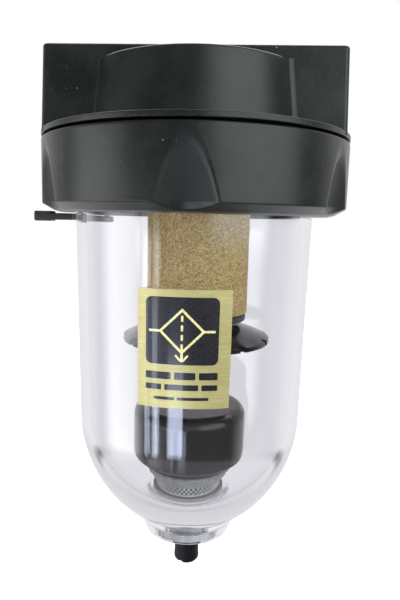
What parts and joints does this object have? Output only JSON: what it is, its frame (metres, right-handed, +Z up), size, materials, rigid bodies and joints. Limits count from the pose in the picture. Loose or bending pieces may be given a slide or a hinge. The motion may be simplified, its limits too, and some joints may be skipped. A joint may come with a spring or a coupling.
{
  "type": "compressed air filter",
  "caption": "In-line compressed air filter: die-cast head with side ports, fluted screw ring, clear domed bowl over a sintered element and baffle, and a float drain with a spigot.",
  "frame": {"origin": "centre of the head's flat top face, on the axis of the bowl", "axes": "+Z up along the bowl's axis, +X towards the outlet port, -X towards the inlet port, -Y towards the label on the front"},
  "size_m": [0.0931, 0.09, 0.1589],
  "materials": {
    "black_paint": "satin black paint over die-cast zinc, slightly orange-peeled, edges worn a little lighter",
    "clear_polycarbonate": "clear injection-moulded polycarbonate, faint grey-violet tint where it is thick",
    "black_rubber": "matte black nitrile rubber",
    "gold_foil": "gold foil brushed across, with a black printed panel",
    "black_plastic": "moulded black nylon, satin",
    "gloss_black_plastic": "glossy black moulded skin",
    "grey_plastic": "light grey moulded acetal",
    "sintered_bronze": "sintered bronze beads, dull and granular",
    "zinc_steel": "bright zinc-plated steel",
    "brass": "turned brass"
  },
  "bodies": {
    "head": {"head": "black_paint", "deflector": "grey_plastic", "upper_gasket": "black_rubber", "filter_element": "sintered_bronze", "lower_gasket": "black_rubber", "baffle": "black_plastic", "element_stud": "zinc_steel", "stack_nut": "zinc_steel"},
    "bowl": {"bowl": "clear_polycarbonate", "bowl_seal": "black_rubber", "label": "gold_foil", "drain_body": "grey_plastic", "drain_screen": "grey_plastic", "drain_gasket": "grey_plastic", "drain_nut": "grey_plastic", "guide_tube": "grey_plastic", "pilot_nozzle": "brass", "spring_seat": "zinc_steel", "piston_spring": "zinc_steel"},
    "ring": {"clamp_ring": "black_paint", "lever_screw": "zinc_steel"},
    "lever": {"lock_lever": "black_plastic"},
    "float": {"float": "gloss_black_plastic", "pilot_seat": "black_rubber"},
    "piston": {"piston": "black_plastic", "piston_seal": "black_rubber"},
    "stem": {"drain_stem": "black_plastic"}
  },
  "joints": [
    {"name": "bowl_lower", "type": "slide", "parent": "head", "child": "bowl", "axis": [0, 0, 1], "range_m": [-0.0081, 0]},
    {"name": "ring_turn", "type": "hinge", "parent": "bowl", "child": "ring", "pos_m": [0, 0, -0.03], "axis": [0, 0, 1], "range_deg": [-720, 0]},
    {"name": "lever_swing", "type": "hinge", "parent": "ring", "child": "lever", "pos_m": [-0.03455, 0.01995, -0.045], "axis": [0, 0, 1], "range_deg": [-20, 0]},
    {"name": "float_rise", "type": "slide", "parent": "bowl", "child": "float", "axis": [0, 0, 1], "range_m": [0, 0.005]},
    {"name": "piston_drop", "type": "slide", "parent": "bowl", "child": "piston", "axis": [0, 0, 1], "range_m": [-0.0016, 0], "deforming": ["piston_spring"]},
    {"name": "stem_push", "type": "slide", "parent": "bowl", "child": "stem", "axis": [0, 0, 1], "range_m": [0, 0.0012]}
  ],
  "couplings": [
    {"joint": "bowl_lower", "follows": "ring_turn", "m_per_rad": 0.00063662},
    {"joint": "piston_drop", "follows": "float_rise", "ratio": -0.3}
  ]
}
